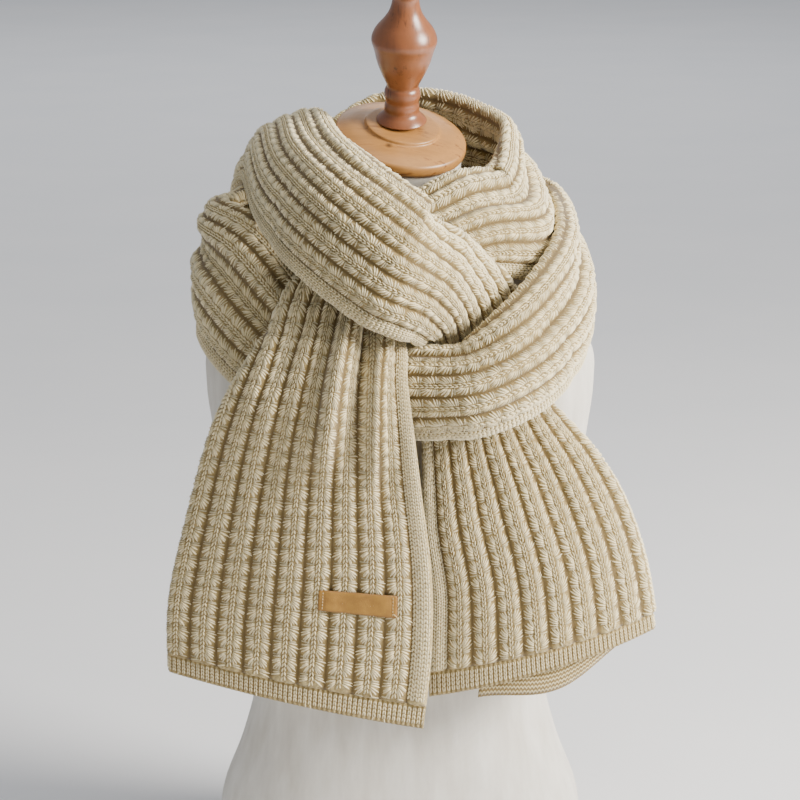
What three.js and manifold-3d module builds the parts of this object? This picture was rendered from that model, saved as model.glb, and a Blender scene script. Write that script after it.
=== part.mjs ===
// A chunky rib-knit scarf wound around the neck of a limbless dress form.
// Millimetres, +Z up, the front faces -Y, +X is the viewer's right.
// The origin lies in the middle of the flat underside of the form.
import * as THREE from "three";
import Module from "manifold-3d";
import { mergeVertices } from "three/addons/utils/BufferGeometryUtils.js";

const wasm = await Module();
wasm.setup();

// The knit sheet: one long strip, folded lengthwise before it is wound.
const SHEET_WIDTH = 342;
const RIB_COUNT = 13;
const RIB_PITCH = 24.2;
const FOLDED_EDGE = 10;
const FREE_BORDER = SHEET_WIDTH - FOLDED_EDGE - RIB_COUNT * RIB_PITCH;
const WALL = 2.4;
const RIB_HEIGHT = 2.6;
const BORDER_HEIGHT = 1.2;
const FOLD_RADIUS = 2.5;
const FOLD_LENGTH = Math.PI * (FOLD_RADIUS + WALL);
const SEAM_GAP = 0.3;

// A rib across its pitch: a valley, then the two shoulders of a rounded ridge.
const RIB_POINTS = [
  { across: 0, height: 0 },
  { across: 0.24, height: 1 },
  { across: 0.76, height: 1 },
];

const FOLDED_RIB = [
  { across: 0, height: 0 },
  { across: 0.5, height: 1 },
];
const HIDDEN_RIB = [{ across: 0.5, height: 0.5 }];

// The one by one rib at each hem.
const HEM_HEIGHT = 18;
const HEM_PITCH = 8.8;
const HEM_RIB = 1.6;
const HEM_WALL = 2.6;

// The dress form's board, cap and turned finial. The finial's rows are radius and height over
// the cap's middle.
const BOARD_HEIGHT = 12;
const BOARD_RIM = 2;
const CAP_CENTRE = new THREE.Vector3(1, 0, 636);
const CAP_RADIUS = 55;
const CAP_THICK = 11;
const CAP_SIDES = 26;
const FINIAL_SIDES = 16;
const CAP_SEAT = CAP_THICK * 0.98;
const CAP_FORWARD = 20;
const CAP_SIDEWAYS = 10;
const FINIAL_FORWARD = 16;
const FINIAL_SIDEWAYS = 2;
const FINIAL_RISE = 9;
const FINIAL_PROFILE = [
  [0, -8],
  [22, -8],
  [22.3, 0],
  [19.5, 6],
  [14, 11],
  [14.6, 16],
  [13.2, 21],
  [15.2, 25],
  [14.6, 31],
  [12.4, 34],
  [17.5, 44],
  [22, 55],
  [24.5, 66],
  [27.2, 73],
  [26.4, 78],
  [23.5, 84],
  [17.5, 91],
  [12.6, 99],
  [10.4, 110],
  [12.5, 114],
  [14, 121],
  [12, 128],
  [7, 133],
  [0, 135],
];

// The sewn label on the left tail: where its middle lies along and across the sheet.
const LABEL_ALONG = 94;
const LABEL_ACROSS = 276;
const LABEL_WIDE = 69;
const LABEL_TALL = 17.6;
const LABEL_THICK = 1.4;
const LABEL_STEPS = 9;
const LABEL_GAP = 0.5;

// The strip's way from the left hem to the right hem. x, y, z is the middle of the cloth that
// shows; turn and tilt say where it faces (0 is the front, 90 the viewer's right, tilt is up);
// skew slants the row; chord and bulge are the width and depth of the rounded section; shown is
// how much of the sheet's width lies in front, reach how far the rest goes back behind it, and
// drop how far the edge that is folded in has slipped on along the strip.
const COLUMNS = [
  "stretch", "x", "y", "z", "turn", "tilt", "skew", "chord", "bulge", "shown", "reach", "drop",
];
const STATIONS = [
  ["left_tail", -84, -138, 189, -4, 2, -8, 209, 10, 227, 0.55, 0],
  ["left_tail", -80, -139, 250, -4, 0, -4, 212, 10, 227, 0.55, 0],
  ["left_tail", -76, -143, 302, -4, 0, 0, 202, 12, 227, 0.55, 0],
  ["left_tail", -70, -152, 378, -4, 0, 0, 172, 14, 225, 0.6, 0],
  ["left_tail", -61, -166, 440, -2, 4, 0, 141, 16, 220, 0.7, 0],
  ["left_tail", -50, -154, 488, 0, 22, 0, 112, 18, 210, 0.75, 0],
  ["left_tail", -34, -126, 526, 8, 34, 0, 92, 14, 190, 0.75, 0],
  ["right_collar", 10, -100, 558, 25, 34, 0, 78, 14, 160, 0.8, 0],
  ["right_collar", 66, -79, 583, 43, 26, 0, 72, 16, 146, 0.8, 0],
  ["right_collar", 111, -46, 583, 66, 28, 0, 84, 20, 140, 0.8, 0],
  ["right_collar", 118.5, 2, 589, 93, 22, 0, 84, 20, 134, 0.8, 0],
  ["right_collar", 98, 62, 606, 134, 14, 0, 82, 15, 126, 0.8, 0],
  ["left_loop", 0, 96, 618, 180, 6, 0, 80, 10, 126, 0.8, 0],
  ["left_loop", -99, 70, 570, 226, 6, 0, 72, 14, 132, 0.8, 0],
  ["left_loop", -150, 28, 548, 250, 3, 0, 73, 14, 136, 0.8, 0],
  ["left_loop", -169, -14, 543, 275, 5, 0, 82, 17, 138, 0.8, 0],
  ["left_loop", -150, -68, 527, 303, 25, 0, 103, 26, 138, 0.8, 0],
  ["left_loop", -104, -112, 486, 330, 24, 0, 94, 26, 138, 0.7, 0],
  ["lower_loop", -52, -130, 450, 350, 8, 0, 72, 28, 138, 0.5, 0],
  ["lower_loop", 4, -142, 450, 362, 8, 0, 68, 27, 138, 0.5, 0],
  ["lower_loop", 62, -153, 456, 375, 10, 0, 70, 25, 138, 0.5, 0],
  ["lower_loop", 113, -129, 477, 402, 9, 0, 84, 20, 138, 0.5, 0],
  ["lower_loop", 148, -75, 505, 428, 9, 0, 90, 17, 138, 0.6, 0],
  ["back_wrap", 155.1, -9, 525.7, 452, 6, 0, 86, 14, 136, 0.6, 0],
  ["back_wrap", 135, 80, 541, 495, 8, 0, 88, 12, 132, 0.7, 0],
  ["back_wrap", 0, 146, 572, 540, 12, 0, 98, 14, 132, 0.7, 0],
  ["back_wrap", -118, 112, 602, 592, 22, 0, 92, 15, 140, 0.7, 0],
  ["diagonal_wrap", -111, 26, 635, 625, 46, 0, 80, 20, 150, 0.7, 0],
  ["diagonal_wrap", -95, -60, 622, 660, 41, 0, 92, 24, 160, 0.7, 0],
  ["diagonal_wrap", -60, -130, 600, 690, 35, 0, 102, 25, 164, 0.7, 0],
  ["diagonal_wrap", -4, -164, 562, 708, 25, 0, 104, 23, 164, 0.7, 0],
  ["diagonal_wrap", 38, -140, 532, 720, 25, 0, 91, 18, 170, 0.6, 0],
  ["right_tail", 62, -96, 488, 728, 8, 0, 80, 12, 198, 0.5, 0],
  ["right_tail", 74, -101, 430, 738, -2, 0, 100, 13, 210, 0.5, 0],
  ["right_tail", 98, -114, 356, 731, 0, 0, 153, 15, 217, 0.6, 7],
  ["right_tail", 114, -120, 290, 730, 0, 4, 175, 18, 219, 0.7, 15],
  ["right_tail", 120, -118, 211, 730, 0, 8, 192, 20, 220, 0.8, 22],
].map((row) => Object.fromEntries(COLUMNS.map((name, column) => [name, row[column]])));

// Creases along the strip, between two stations. place is where each runs across what shows,
// from the fold (-1) to the free border (1); width is its spread there, and depth its dip in.
const CREASE_COLUMNS = ["from", "to", "place", "width", "depth"];
const CREASES = [
  [2.6, 6.5, 0.7, 0.12, 11],
  [3.4, 6.5, -0.15, 0.13, 8],
  [3.8, 6.5, -0.6, 0.12, 6],
  [7, 12, -0.42, 0.22, 9],
  [14.2, 18.2, -0.12, 0.22, 11],
  [20.6, 24, -0.42, 0.2, 8],
].map((row) => Object.fromEntries(CREASE_COLUMNS.map((name, column) => [name, row[column]])));
const CREASE_FADE = 0.8;

// How finely each stretch is stepped along and lined inside, and whether the ribs of the part
// that is folded in are raised too, because they show inside the collar.
const STRETCHES = {
  left_tail: { step: 30, inside: 15, inner_ribs: false },
  right_collar: { step: 20, inside: 11, inner_ribs: true },
  left_loop: { step: 26, inside: 11, inner_ribs: false },
  lower_loop: { step: 18, inside: 9, inner_ribs: false },
  back_wrap: { step: 29, inside: 7, inner_ribs: false },
  diagonal_wrap: { step: 23, inside: 9, inner_ribs: false },
  right_tail: { step: 24, inside: 10, inner_ribs: false },
};

// Distance along the strip at each station, straight from one to the next.
const stationReach = [0];
for (let index = 1; index < STATIONS.length; index += 1) {
  const here = STATIONS[index];
  const last = STATIONS[index - 1];
  const step = Math.hypot(here.x - last.x, here.y - last.y, here.z - last.z);
  stationReach.push(stationReach[index - 1] + step);
}
const STRIP_LENGTH = stationReach[STATIONS.length - 1];

// The value of one column at a distance along the strip, smooth through every station.
function columnAt(column, distance) {
  const last = STATIONS.length - 1;
  let index = 0;
  while (index < last - 1 && distance > stationReach[index + 1]) index += 1;
  const value = (at) => STATIONS[at][column];
  const slope = (at) => {
    const before = Math.max(at - 1, 0);
    const after = Math.min(at + 1, last);
    return (value(after) - value(before)) / (stationReach[after] - stationReach[before]);
  };
  const span = stationReach[index + 1] - stationReach[index];
  const part = (distance - stationReach[index]) / span;
  const square = part * part;
  const cube = square * part;
  return (
    value(index) * (2 * cube - 3 * square + 1) +
    slope(index) * span * (cube - 2 * square + part) +
    value(index + 1) * (3 * square - 2 * cube) +
    slope(index + 1) * span * (cube - square)
  );
}

function middleAt(distance) {
  return new THREE.Vector3(columnAt("x", distance), columnAt("y", distance), columnAt("z", distance));
}

// The plane of the section at a distance along the strip: its middle, across and outward.
function planeAt(distance) {
  const middle = middleAt(distance);
  const along = middleAt(distance + 1).sub(middleAt(distance - 1)).normalize();
  const turn = THREE.MathUtils.degToRad(columnAt("turn", distance));
  const tilt = THREE.MathUtils.degToRad(columnAt("tilt", distance));
  const skew = THREE.MathUtils.degToRad(columnAt("skew", distance));
  const facing = new THREE.Vector3(
    Math.sin(turn) * Math.cos(tilt),
    -Math.cos(turn) * Math.cos(tilt),
    Math.sin(tilt),
  );
  const square = new THREE.Vector3().crossVectors(along, facing).normalize();
  const outward = new THREE.Vector3().crossVectors(square, along).normalize();
  const across = square.multiplyScalar(Math.cos(skew)).addScaledVector(along, Math.sin(skew));
  return { middle, along, across, outward };
}

// The creases that cross a section: where each lies and how deep it is there.
function creasesAt(distance) {
  let station = 0;
  while (station < STATIONS.length - 2 && distance > stationReach[station + 1]) station += 1;
  const span = stationReach[station + 1] - stationReach[station];
  const at = station + (distance - stationReach[station]) / span;
  return CREASES.filter((crease) => at > crease.from && at < crease.to).map((crease) => {
    const near = Math.min(at - crease.from, crease.to - at) / CREASE_FADE;
    return { ...crease, depth: crease.depth * THREE.MathUtils.smoothstep(near, 0, 1) };
  });
}

// The section's inner line at a distance along the strip. width runs over the sheet from its
// folded-in edge (0) to its free border (SHEET_WIDTH). Returns the point and outward normal.
function sectionAt(distance) {
  const chord = columnAt("chord", distance);
  const bulge = columnAt("bulge", distance);
  const radius = (chord * chord / 4 + bulge * bulge) / (2 * bulge);
  const half = Math.asin(chord / (2 * radius));
  const foldAt = SHEET_WIDTH - columnAt("shown", distance);
  const reach = columnAt("reach", distance);
  const creases = creasesAt(distance);
  const around = (size, angle, facing) => {
    let dip = 0;
    for (const crease of creases) {
      dip += crease.depth * Math.exp(-(((angle / half - crease.place) / crease.width) ** 2));
    }
    return {
      a: (size - dip) * Math.sin(angle),
      n: (size - dip) * Math.cos(angle) - radius,
      na: facing * Math.sin(angle),
      nn: facing * Math.cos(angle),
      slip: 0,
    };
  };
  return (width) => {
    if (width >= foldAt) {
      const part = (width - foldAt) / (SHEET_WIDTH - foldAt);
      return around(radius, half * (2 * part - 1), 1);
    }
    if (width > foldAt - FOLD_LENGTH) {
      const swing = Math.PI * (foldAt - width) / FOLD_LENGTH;
      const hub = around(radius - FOLD_RADIUS, -half, 1);
      const outA = hub.na * Math.cos(swing) - hub.nn * Math.sin(swing);
      const outN = hub.nn * Math.cos(swing) + hub.na * Math.sin(swing);
      const a = hub.a + FOLD_RADIUS * outA;
      const n = hub.n + FOLD_RADIUS * outN;
      return { a, n, na: outA, nn: outN, slip: 0 };
    }
    const part = 1 - width / (foldAt - FOLD_LENGTH);
    const behind = around(radius - 2 * FOLD_RADIUS, half * (2 * part * reach - 1), -1);
    return { ...behind, slip: part * columnAt("drop", distance) };
  };
}

// The outer points across the sheet: where each lies and how far it stands off the inside. The
// ribs that are always folded in are drawn simply: one plain ridge each, or none.
function outerColumns(foldedRibs, foldedPoints) {
  const columns = [{ width: 0, thick: WALL + BORDER_HEIGHT }];
  for (let rib = 0; rib < RIB_COUNT; rib += 1) {
    const start = FOLDED_EDGE + rib * RIB_PITCH;
    for (const point of rib < foldedRibs ? foldedPoints : RIB_POINTS) {
      columns.push({
        width: start + point.across * RIB_PITCH,
        thick: WALL + point.height * RIB_HEIGHT,
      });
    }
  }
  columns.push({ width: SHEET_WIDTH - FREE_BORDER, thick: WALL });
  columns.push({ width: SHEET_WIDTH - FREE_BORDER * 0.6, thick: WALL + BORDER_HEIGHT });
  columns.push({ width: SHEET_WIDTH, thick: WALL + BORDER_HEIGHT });
  return columns;
}

// The fine rib at the hem: every second point stands out.
function hemColumns() {
  const count = Math.round(SHEET_WIDTH / HEM_PITCH) * 2;
  return Array.from({ length: count + 1 }, (_, index) => ({
    width: SHEET_WIDTH * index / count,
    thick: HEM_WALL + (index % 2) * HEM_RIB,
  }));
}

// The plain inside: a few points behind, three around the fold and the rest in front.
function innerWidths(distance, inside) {
  const foldAt = SHEET_WIDTH - columnAt("shown", distance);
  const widths = [];
  const behind = Math.ceil(inside * 0.7);
  for (let index = 0; index < behind; index += 1) {
    widths.push((foldAt - FOLD_LENGTH) * index / behind);
  }
  for (let index = 0; index < 4; index += 1) {
    widths.push(foldAt - FOLD_LENGTH * (1 - index / 4));
  }
  for (let index = 0; index <= inside; index += 1) {
    widths.push(foldAt + (SHEET_WIDTH - foldAt) * index / inside);
  }
  return widths;
}

// A closed wall from one distance to another: ribbed outside, plain inside.
function wallGeometry(from, to, step, columns, inside) {
  const steps = Math.max(1, Math.round((to - from) / step));
  const points = [];
  const faces = [];
  const outer = [];
  const inner = [];
  const innerWidth = [];
  for (let row = 0; row <= steps; row += 1) {
    const distance = from + (to - from) * row / steps;
    const plane = planeAt(distance);
    const section = sectionAt(distance);
    const place = (at, lift) => {
      const spot = plane.middle.clone();
      spot.addScaledVector(plane.across, at.a + at.na * lift);
      spot.addScaledVector(plane.outward, at.n + at.nn * lift);
      spot.addScaledVector(plane.along, at.slip);
      points.push(spot.x, spot.y, spot.z);
      return points.length / 3 - 1;
    };
    outer.push(columns.map((column) => place(section(column.width), column.thick)));
    innerWidth.push(innerWidths(distance, inside));
    inner.push(innerWidth[row].map((width) => place(section(width), 0)));
  }
  const quad = (a, b, c, d) => faces.push(a, b, c, a, c, d);
  for (let row = 0; row < steps; row += 1) {
    for (let column = 0; column + 1 < columns.length; column += 1) {
      const next = outer[row + 1];
      quad(outer[row][column], outer[row][column + 1], next[column + 1], next[column]);
    }
    for (let column = 0; column + 1 < inner[row].length; column += 1) {
      const next = inner[row + 1];
      quad(inner[row][column + 1], inner[row][column], next[column], next[column + 1]);
    }
    const outerEnd = columns.length - 1;
    const innerEnd = inner[row].length - 1;
    quad(inner[row][0], outer[row][0], outer[row + 1][0], inner[row + 1][0]);
    quad(outer[row][outerEnd], inner[row][innerEnd], inner[row + 1][innerEnd], outer[row + 1][outerEnd]);
  }
  const close = (row, flip) => {
    let left = 0;
    let right = 0;
    while (left + 1 < columns.length || right + 1 < inner[row].length) {
      const outerNext = left + 1 < columns.length ? columns[left + 1].width : Infinity;
      const innerNext = right + 1 < inner[row].length ? innerWidth[row][right + 1] : Infinity;
      const corner = [outer[row][left], inner[row][right]];
      if (outerNext <= innerNext) {
        left += 1;
        corner.push(outer[row][left]);
      } else {
        right += 1;
        corner.push(inner[row][right]);
      }
      if (flip) corner.reverse();
      faces.push(...corner);
    }
  };
  close(0, false);
  close(steps, true);
  const geometry = new THREE.BufferGeometry();
  geometry.setAttribute("position", new THREE.Float32BufferAttribute(points, 3));
  geometry.setIndex(faces);
  return geometry;
}

// The label: the sheet's own points under it, moved out past the ribs, with a top and a bottom.
function labelGeometry() {
  const points = [];
  const faces = [];
  const lift = WALL + RIB_HEIGHT + LABEL_GAP;
  for (const along of [-0.5, 0.5]) {
    const distance = LABEL_ALONG + along * LABEL_TALL;
    const plane = planeAt(distance);
    const section = sectionAt(distance);
    for (let step = 0; step <= LABEL_STEPS; step += 1) {
      const at = section(LABEL_ACROSS + LABEL_WIDE * (step / LABEL_STEPS - 0.5));
      for (const height of [lift, lift + LABEL_THICK]) {
        const spot = plane.middle.clone();
        spot.addScaledVector(plane.across, at.a + at.na * height);
        spot.addScaledVector(plane.outward, at.n + at.nn * height);
        points.push(spot.x, spot.y, spot.z);
      }
    }
  }
  const corner = (row, step, top) => row * 2 * (LABEL_STEPS + 1) + step * 2 + top;
  const quad = (a, b, c, d) => faces.push(a, b, c, a, c, d);
  for (let step = 0; step < LABEL_STEPS; step += 1) {
    const next = step + 1;
    quad(corner(0, step, 1), corner(0, next, 1), corner(1, next, 1), corner(1, step, 1));
    quad(corner(0, next, 0), corner(0, step, 0), corner(1, step, 0), corner(1, next, 0));
    quad(corner(0, step, 0), corner(0, next, 0), corner(0, next, 1), corner(0, step, 1));
    quad(corner(1, next, 0), corner(1, step, 0), corner(1, step, 1), corner(1, next, 1));
  }
  const last = LABEL_STEPS;
  quad(corner(0, 0, 1), corner(1, 0, 1), corner(1, 0, 0), corner(0, 0, 0));
  quad(corner(0, last, 0), corner(1, last, 0), corner(1, last, 1), corner(0, last, 1));
  const geometry = new THREE.BufferGeometry();
  geometry.setAttribute("position", new THREE.Float32BufferAttribute(points, 3));
  geometry.setIndex(faces);
  return geometry;
}

const wool = new THREE.MeshStandardMaterial({ color: 0xd8c9ad, roughness: 0.95, metalness: 0 });
const hide = new THREE.MeshStandardMaterial({ color: 0x9a7f63, roughness: 0.6, metalness: 0 });
const linen = new THREE.MeshStandardMaterial({ color: 0xece8e0, roughness: 0.9, metalness: 0 });
const paleWood = new THREE.MeshStandardMaterial({ color: 0xd9b98c, roughness: 0.45, metalness: 0 });
const redWood = new THREE.MeshStandardMaterial({ color: 0x8a4a30, roughness: 0.35, metalness: 0 });

const part = new THREE.Group();

function addMesh(name, geometry, material) {
  geometry.deleteAttribute("normal");
  geometry.deleteAttribute("uv");
  const mesh = new THREE.Mesh(mergeVertices(geometry, 1e-4), material);
  mesh.name = name;
  mesh.geometry.computeVertexNormals();
  part.add(mesh);
  return mesh;
}

function solid(geometry) {
  geometry.deleteAttribute("normal");
  geometry.deleteAttribute("uv");
  const merged = mergeVertices(geometry, 1e-4);
  return new wasm.Manifold(new wasm.Mesh({
    numProp: 3,
    vertProperties: new Float32Array(merged.attributes.position.array),
    triVerts: new Uint32Array(merged.index.array),
  }));
}

function meshOf(body) {
  const { vertProperties, triVerts } = body.getMesh();
  const geometry = new THREE.BufferGeometry();
  geometry.setAttribute("position", new THREE.Float32BufferAttribute(vertProperties, 3));
  geometry.setIndex([...triVerts]);
  return geometry;
}

// The stretches of the scarf, each ending a seam's gap before the next begins.
function addScarf() {
  for (const [name, stretch] of Object.entries(STRETCHES)) {
    const first = STATIONS.findIndex((station) => station.stretch === name);
    const after = STATIONS.findIndex((station, index) => index > first && station.stretch !== name);
    const atEnd = after === -1;
    const from = first === 0 ? HEM_HEIGHT + SEAM_GAP / 2 : stationReach[first] + SEAM_GAP / 2;
    const to = atEnd ? STRIP_LENGTH - HEM_HEIGHT - SEAM_GAP / 2 : stationReach[after] - SEAM_GAP / 2;
    let leastFold = SHEET_WIDTH;
    for (let distance = from; distance <= to; distance += 5) {
      leastFold = Math.min(leastFold, SHEET_WIDTH - columnAt("shown", distance));
    }
    const hiddenRibs = Math.floor((leastFold - FOLD_LENGTH - FOLDED_EDGE) / RIB_PITCH);
    const columns = outerColumns(hiddenRibs, stretch.inner_ribs ? FOLDED_RIB : HIDDEN_RIB);
    addMesh(name, wallGeometry(from, to, stretch.step, columns, stretch.inside), wool);
  }
  addMesh("left_hem", wallGeometry(0, HEM_HEIGHT - SEAM_GAP / 2, HEM_HEIGHT, hemColumns(), 12), wool);
  const lastHem = STRIP_LENGTH - HEM_HEIGHT + SEAM_GAP / 2;
  addMesh("right_hem", wallGeometry(lastHem, STRIP_LENGTH, HEM_HEIGHT, hemColumns(), 12), wool);
  addMesh("label_patch", labelGeometry(), hide);
}

// The dress form: rings from the hips up to the neck, which leans the way its cap does.
const FORM_COLUMNS = ["z", "y", "wide", "front", "back", "lean"];
const FORM_RINGS = [
  [BOARD_HEIGHT + SEAM_GAP, 0, 158, 92, 98, 0],
  [60, 0, 156, 90, 98, 0],
  [110, 0, 138, 82, 86, 0],
  [160, 0, 126, 74, 76, 0],
  [230, 0, 136, 80, 82, 0],
  [310, 0, 150, 86, 92, 0],
  [380, 0, 158, 88, 100, 0],
  [430, 0, 164, 82, 106, 0],
  [455, 0, 163, 75, 107, 0],
  [473, 1, 154, 67, 104, 0],
  [490, 4, 138, 60, 96, 0],
  [506, 8, 114, 55, 82, 0],
  [521, 13, 86, 52, 68, 0],
  [536, 17, 66, 51, 58, 0.1],
  [558, 18, 55, 50, 53, 0.35],
  [590, 13, 51, 50, 51, 0.65],
  [CAP_CENTRE.z - CAP_SEAT, 4, 52, 52, 52, 1],
].map((row) => Object.fromEntries(FORM_COLUMNS.map((name, column) => [name, row[column]])));
const FORM_SIDES = 26;
const FORM_SQUARENESS = 2.3;

// How the cap and the top of the neck lean: forward, and down to the viewer's right.
function leaning(forward, sideways) {
  const { degToRad } = THREE.MathUtils;
  return new THREE.Quaternion().setFromEuler(new THREE.Euler(degToRad(forward), degToRad(sideways), 0));
}
const capLean = leaning(CAP_FORWARD, CAP_SIDEWAYS);
const finialLean = leaning(FINIAL_FORWARD, FINIAL_SIDEWAYS);

function formGeometry(rings) {
  const points = [];
  const faces = [];
  rings.forEach((ring) => {
    const lean = new THREE.Quaternion().slerp(capLean, ring.lean);
    for (let side = 0; side < FORM_SIDES; side += 1) {
      const angle = 2 * Math.PI * side / FORM_SIDES;
      const curve = (value) => Math.sign(value) * Math.abs(value) ** (2 / FORM_SQUARENESS);
      const round = ring.lean > 0 ? (value) => value : curve;
      const depth = Math.sin(angle) < 0 ? ring.front : ring.back;
      const rim = new THREE.Vector3(ring.wide * round(Math.cos(angle)), depth * round(Math.sin(angle)), 0);
      rim.applyQuaternion(lean).add(new THREE.Vector3(0, ring.y, ring.z));
      points.push(rim.x, rim.y, rim.z);
    }
  });
  for (let ring = 0; ring + 1 < rings.length; ring += 1) {
    for (let side = 0; side < FORM_SIDES; side += 1) {
      const next = (side + 1) % FORM_SIDES;
      const [a, b] = [ring * FORM_SIDES + side, ring * FORM_SIDES + next];
      faces.push(a, b, b + FORM_SIDES, a, b + FORM_SIDES, a + FORM_SIDES);
    }
  }
  const top = (rings.length - 1) * FORM_SIDES;
  for (let side = 1; side + 1 < FORM_SIDES; side += 1) {
    faces.push(0, side + 1, side);
    faces.push(top, top + side, top + side + 1);
  }
  const geometry = new THREE.BufferGeometry();
  geometry.setAttribute("position", new THREE.Float32BufferAttribute(points, 3));
  geometry.setIndex(faces);
  return geometry;
}

// A turned piece: its profile from the axis out and back to the axis, going up.
function turned(profile, sides) {
  const geometry = new THREE.LatheGeometry(profile.map(([x, y]) => new THREE.Vector2(x, y)), sides);
  return geometry.rotateX(Math.PI / 2);
}

function addForm() {
  const board = FORM_RINGS[0];
  const outline = [0, 1].map((at) => ({ ...board, z: at * BOARD_HEIGHT, wide: board.wide + BOARD_RIM,
    front: board.front + BOARD_RIM, back: board.back + BOARD_RIM }));
  addMesh("base_board", formGeometry(outline), paleWood);
  addMesh("torso", formGeometry(FORM_RINGS), linen);

  const capProfile = (grow) => [
    [0, -CAP_THICK - grow],
    [CAP_RADIUS - 3, -CAP_THICK - grow],
    [CAP_RADIUS + grow, -CAP_THICK + 3],
    [CAP_RADIUS + grow, -2],
    [CAP_RADIUS - 3, 1 + grow],
    [CAP_RADIUS * 0.8, 4.5 + grow],
    [CAP_RADIUS * 0.58, 6.5 + grow],
    [CAP_RADIUS * 0.53, 9.5 + grow],
    [0, 10.5 + grow],
  ];
  const { x, y, z } = CAP_CENTRE;
  const placed = (geometry) => geometry.applyQuaternion(capLean).translate(x, y, z);
  addMesh("neck_cap", placed(turned(capProfile(0), CAP_SIDES)), paleWood);

  const finial = turned(FINIAL_PROFILE, FINIAL_SIDES).applyQuaternion(finialLean);
  finial.translate(x, y, z + FINIAL_RISE);
  const seat = solid(placed(turned(capProfile(SEAM_GAP), CAP_SIDES)));
  addMesh("finial", meshOf(solid(finial).subtract(seat)), redWood);
}

addForm();
addScarf();

export default part;
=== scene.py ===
"""Dresses a knit scarf on a dress form: yarn, label, wood, cloth, floor, light and camera."""

import math
import bpy
import numpy as np
from mathutils import Euler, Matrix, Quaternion, Vector


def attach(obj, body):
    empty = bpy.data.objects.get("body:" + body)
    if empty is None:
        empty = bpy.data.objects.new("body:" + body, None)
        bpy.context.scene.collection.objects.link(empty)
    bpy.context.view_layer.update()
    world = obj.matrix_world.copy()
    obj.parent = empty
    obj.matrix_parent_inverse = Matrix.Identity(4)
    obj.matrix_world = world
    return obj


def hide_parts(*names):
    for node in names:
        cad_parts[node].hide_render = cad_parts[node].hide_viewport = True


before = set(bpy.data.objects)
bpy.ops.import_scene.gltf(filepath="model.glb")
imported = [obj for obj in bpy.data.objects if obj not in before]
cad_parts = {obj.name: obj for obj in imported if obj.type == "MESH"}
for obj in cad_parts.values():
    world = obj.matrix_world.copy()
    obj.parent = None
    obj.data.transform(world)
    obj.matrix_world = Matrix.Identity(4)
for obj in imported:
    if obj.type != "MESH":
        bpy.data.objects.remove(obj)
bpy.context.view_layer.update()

# The tables and sizes below are in millimetres, and MM turns them into Blender's metres.
MM = 0.001
SEED = 11

# The knit sheet: one long strip, folded lengthwise before it is wound.
SHEET_WIDTH = 342.0
RIB_COUNT = 13
RIB_PITCH = 24.2
FOLDED_EDGE = 10.0
FREE_BORDER = SHEET_WIDTH - FOLDED_EDGE - RIB_COUNT * RIB_PITCH
WALL = 2.4
FOLD_RADIUS = 2.5
FOLD_LENGTH = math.pi * (FOLD_RADIUS + WALL)
HEM_HEIGHT = 18.0

# How finely a wall is divided. Its plain inner side has every COARSE-th row and column.
COARSE = 3
DENSE_PER_RIB = 12
ROW_STEP = 2.8
HEM_ROW_STEP = 2.0
BORDER_COLUMNS = 6
TUCKED_COLUMNS = 15
TUCKED_COLUMNS_FINE = 45

# The ridge of a rib under its yarn, and the yarn that is laid on it.
RIDGE_HEIGHT = 2.0
RIDGE_HALF = 11.2
LOBE_HEIGHT = 1.1
LOBE_MIDDLE = 5.6
LOBE_SPREAD = 3.6
BORDER_ROLL = 3.6
# BORDER_SHADE is the ground's painted shade level on the border, and the three HOLE numbers paint dark
# shade into the holes beside each spine.
BORDER_SHADE = 0.8
HOLE_SHADE = 0.35
HOLE_MIDDLE = 1.6
HOLE_SPREAD = 1.5
HEM_PITCH = 4.4
HEM_WALL = 2.6
HEM_RIDGE = 0.7
YARN_SUNK = 0.35
FAN_PITCH = 13.6
FAN_DRIFT = 1.7
FAN_ROOT_STEP = 1.15
FAN_ANGLES = (2, 12, 23, 34, 45, 56, 67)
FAN_LENGTHS = (8.7, 9.8, 10.5, 10.7, 10.4, 9.5, 8.2)
# FAN_SHADES paint shade and light on each strand of a fan: darkest on the first, which lies under the
# fan before it, lightest in the middle.
FAN_SHADES = (-2.6, -0.9, 0.2, 0.7, 0.8, 0.3, -0.6)
FAN_ROOT = 2.1
FAN_RADIUS = 0.93
FAN_RISE = 1.15
CHAIN_PITCH = 3.9
CHAIN_RADIUS = 0.92
CHAIN_RISE = 1.9
# CHAIN_SHADE is a painted highlight that makes the raised spine paler.
CHAIN_SHADE = 0.9
PLAIN_PITCH = 3.4
PLAIN_COLUMN = 4.25
PLAIN_RADIUS = 1.1
PLAIN_RISE = 1.0
PLAIN_REACH = 1.75
HEM_STITCH_PITCH = 3.2
HEM_STITCH_REACH = 1.2
HEM_STITCH_RADIUS = 0.8
HEM_STITCH_RISE = 0.9
STRAND_PARTS = np.array([0.0, 0.17, 0.5, 0.83, 1.0])
STRAND_GIRTH = np.array([0.0, 0.88, 1.0, 0.78, 0.0])

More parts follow.
